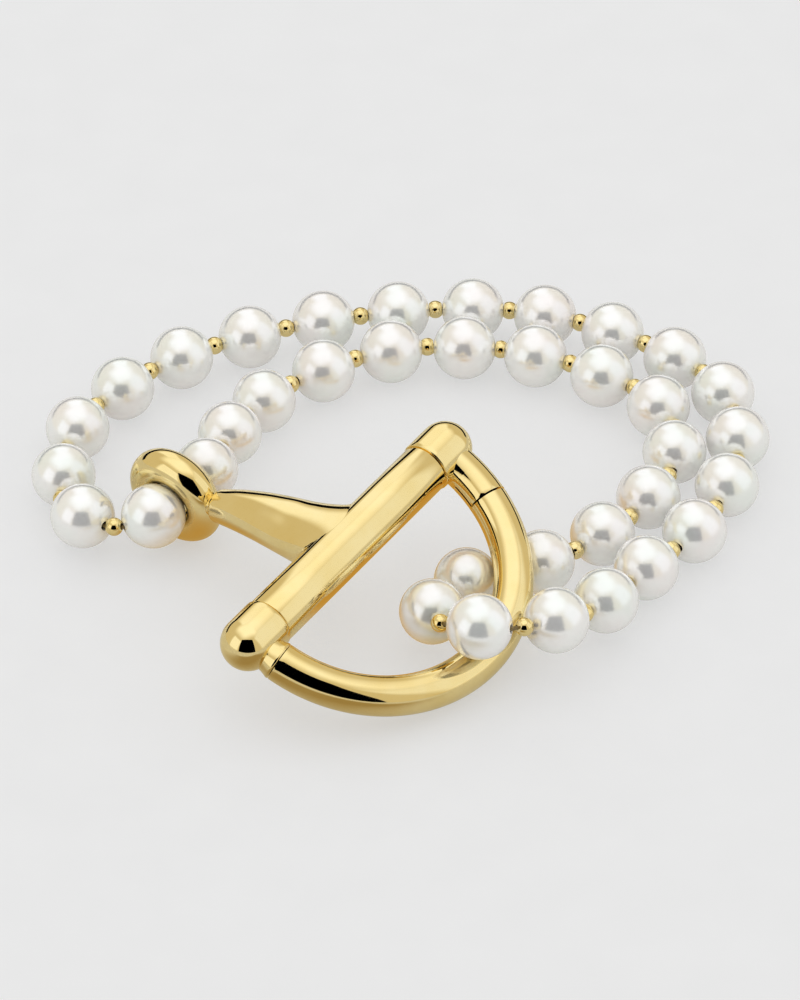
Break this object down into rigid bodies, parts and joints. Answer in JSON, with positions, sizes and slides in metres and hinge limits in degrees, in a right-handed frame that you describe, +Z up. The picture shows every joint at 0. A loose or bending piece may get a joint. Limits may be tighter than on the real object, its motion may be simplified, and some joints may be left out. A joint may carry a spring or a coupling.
{
  "type": "horsebit bracelet",
  "caption": "Double-turn pearl bracelet on a gold horsebit: one fold of the string hooks in a hinged D ring, the other runs through the eye of a tapering stem that swivels on the same bar.",
  "frame": {"origin": "middle of the bracelet's bounding box, on the surface that it lies on", "axes": "+X along its longest side, +Y towards the two back turns of pearls, away from the D ring, +Z up"},
  "size_m": [0.0804, 0.0732, 0.016],
  "materials": {
    "pearl": "satin pearl lacquer over glass, cream white",
    "gold": "mirror-polished pale yellow gold plating",
    "spacer": "polished gold plating on the small round spacer beads"
  },
  "bodies": {
    "root": {"hinge_pin": "gold", "pearl_01": "pearl", "pearl_02": "pearl", "pearl_03": "pearl", "pearl_04": "pearl", "pearl_05": "pearl", "pearl_06": "pearl", "pearl_07": "pearl", "pearl_08": "pearl", "pearl_09": "pearl", "pearl_10": "pearl", "pearl_11": "pearl", "pearl_12": "pearl", "pearl_13": "pearl", "pearl_14": "pearl", "pearl_15": "pearl", "pearl_16": "pearl", "pearl_17": "pearl", "pearl_18": "pearl", "pearl_19": "pearl", "pearl_20": "pearl", "pearl_21": "pearl", "pearl_22": "pearl", "pearl_23": "pearl", "pearl_24": "pearl", "pearl_25": "pearl", "pearl_26": "pearl", "pearl_27": "pearl", "pearl_28": "pearl", "pearl_29": "pearl", "pearl_30": "pearl", "pearl_31": "pearl", "pearl_32": "pearl", "pearl_33": "pearl", "pearl_34": "pearl", "pearl_35": "pearl", "pearl_36": "pearl", "ring_frame": "gold", "ring_gate": "gold", "spacer_string": "spacer", "stem_link": "gold"}
  },
  "joints": []
}
